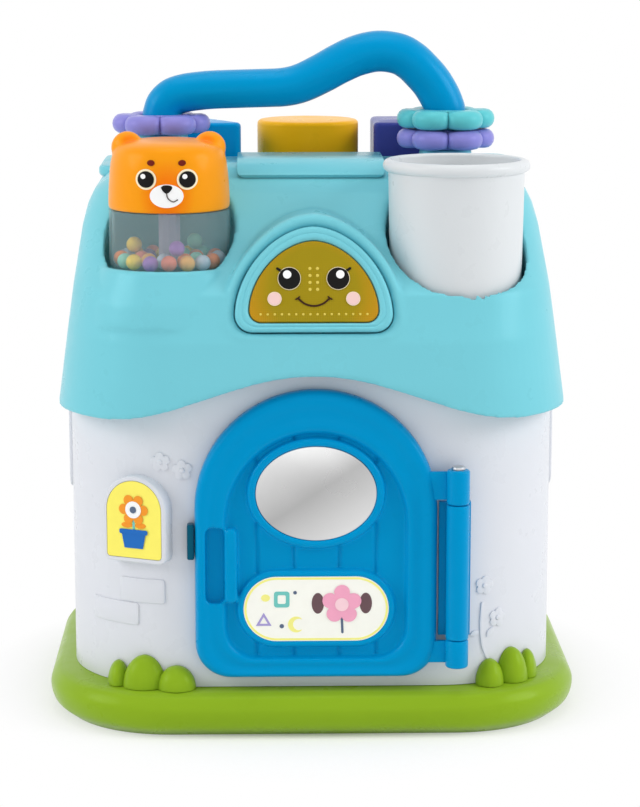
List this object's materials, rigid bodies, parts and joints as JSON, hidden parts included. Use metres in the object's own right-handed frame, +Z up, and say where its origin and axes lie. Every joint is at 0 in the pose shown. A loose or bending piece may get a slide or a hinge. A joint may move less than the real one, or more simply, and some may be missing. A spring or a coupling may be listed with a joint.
{
  "type": "activity house toy",
  "caption": "Toddler's activity house: a door with a mirror, a lift-out rattle and cup, a shape sorter lid with blocks, a face push button, a carry handle and flower rings.",
  "frame": {"origin": "centre of the base's flat underside", "axes": "+Z up, -Y the front with the door, +X to the right as seen from the front"},
  "size_m": [0.266, 0.224, 0.338],
  "materials": {
    "aqua_plastic": "satin moulded plastic",
    "blue_plastic": "satin moulded plastic",
    "green_plastic": "satin moulded plastic",
    "orange_plastic": "satin moulded plastic",
    "yellow_plastic": "satin moulded plastic",
    "deep_blue_plastic": "satin moulded plastic",
    "violet_plastic": "satin moulded plastic",
    "lilac_plastic": "satin moulded plastic",
    "teal_plastic": "satin moulded plastic",
    "dark_teal_plastic": "moulded plastic",
    "white_plastic": "satin moulded plastic",
    "clear_plastic": "clear moulded plastic",
    "lens_plastic": "printed translucent plastic",
    "label_film": "film sticker",
    "mirror_film": "silvered plastic sheet",
    "post_plastic": "moulded plastic",
    "board_laminate": "circuit board",
    "black_plastic": "moulded plastic",
    "steel": "plated steel"
  },
  "bodies": {
    "house": {"base_plate": "green_plastic", "base_screw_1": "steel", "base_screw_2": "steel", "base_screw_3": "steel", "base_screw_4": "steel", "base_tray": "green_plastic", "battery_1": "steel", "battery_2": "steel", "battery_3": "steel", "battery_box": "white_plastic", "battery_cover": "white_plastic", "battery_cover_screw": "steel", "bush_left": "green_plastic", "bush_right": "green_plastic", "button_led": "clear_plastic", "button_spring_left": "steel", "button_spring_right": "steel", "button_switch": "black_plastic", "door_catch": "dark_teal_plastic", "front_wall": "white_plastic", "handle": "blue_plastic", "handle_collar": "aqua_plastic", "handle_screw_left": "steel", "handle_screw_right": "steel", "hinge_barrel": "blue_plastic", "hinge_pin": "steel", "light_board": "board_laminate", "rear_wall": "white_plastic", "roof_screw_1": "steel", "roof_screw_2": "steel", "roof_screw_3": "steel", "roof_screw_4": "steel", "roof_shell": "aqua_plastic", "sorter_lid": "aqua_plastic", "speaker": "black_plastic", "window_label": "label_film"},
    "door": {"door_leaf": "blue_plastic", "door_mirror": "mirror_film", "door_label": "label_film"},
    "face_button": {"face_bezel": "aqua_plastic", "face_lens": "lens_plastic"},
    "rattle": {"rattle_drum": "clear_plastic", "bear_head": "orange_plastic", "rattle_post": "post_plastic", "rattle_beads": "yellow_plastic"},
    "cup": {"cup": "white_plastic"},
    "block_triangle": {"block_triangle": "deep_blue_plastic"},
    "block_cylinder": {"block_cylinder": "yellow_plastic"},
    "block_square": {"block_square": "violet_plastic"},
    "ring_left": {"ring_left": "lilac_plastic"},
    "ring_right_lower": {"ring_right_lower": "lilac_plastic"},
    "ring_right_upper": {"ring_right_upper": "teal_plastic"}
  },
  "joints": [
    {"name": "door_hinge", "type": "hinge", "parent": "house", "child": "door", "pos_m": [0.0697, -0.105, 0.0822], "axis": [0, 0, 1], "range_deg": [0, 110]},
    {"name": "face_push", "type": "slide", "parent": "house", "child": "face_button", "axis": [0, 0.9397, -0.342], "range_m": [0, 0.0025], "stiffness_N_per_m": 400, "deforming": ["button_spring_left", "button_spring_right"]},
    {"name": "rattle_lift", "type": "slide", "parent": "house", "child": "rattle", "axis": [0, 0, 1], "range_m": [0, 0.075]},
    {"name": "cup_lift", "type": "slide", "parent": "house", "child": "cup", "axis": [0, 0, 1], "range_m": [0, 0.09]},
    {"name": "triangle_lift", "type": "slide", "parent": "house", "child": "block_triangle", "axis": [0, 0, 1], "range_m": [0, 0.06]},
    {"name": "cylinder_lift", "type": "slide", "parent": "house", "child": "block_cylinder", "axis": [0, 0, 1], "range_m": [0, 0.06]},
    {"name": "square_lift", "type": "slide", "parent": "house", "child": "block_square", "axis": [0, 0, 1], "range_m": [0, 0.06]},
    {"name": "left_ring_spin", "type": "hinge", "parent": "house", "child": "ring_left", "pos_m": [-0.0757, 0, 0.292], "axis": [0, 0, 1], "continuous": true},
    {"name": "lower_ring_spin", "type": "hinge", "parent": "house", "child": "ring_right_lower", "pos_m": [0.0695, 0, 0.2842], "axis": [0, 0, 1], "continuous": true},
    {"name": "upper_ring_spin", "type": "hinge", "parent": "house", "child": "ring_right_upper", "pos_m": [0.0695, 0, 0.2943], "axis": [0, 0, 1], "continuous": true}
  ]
}
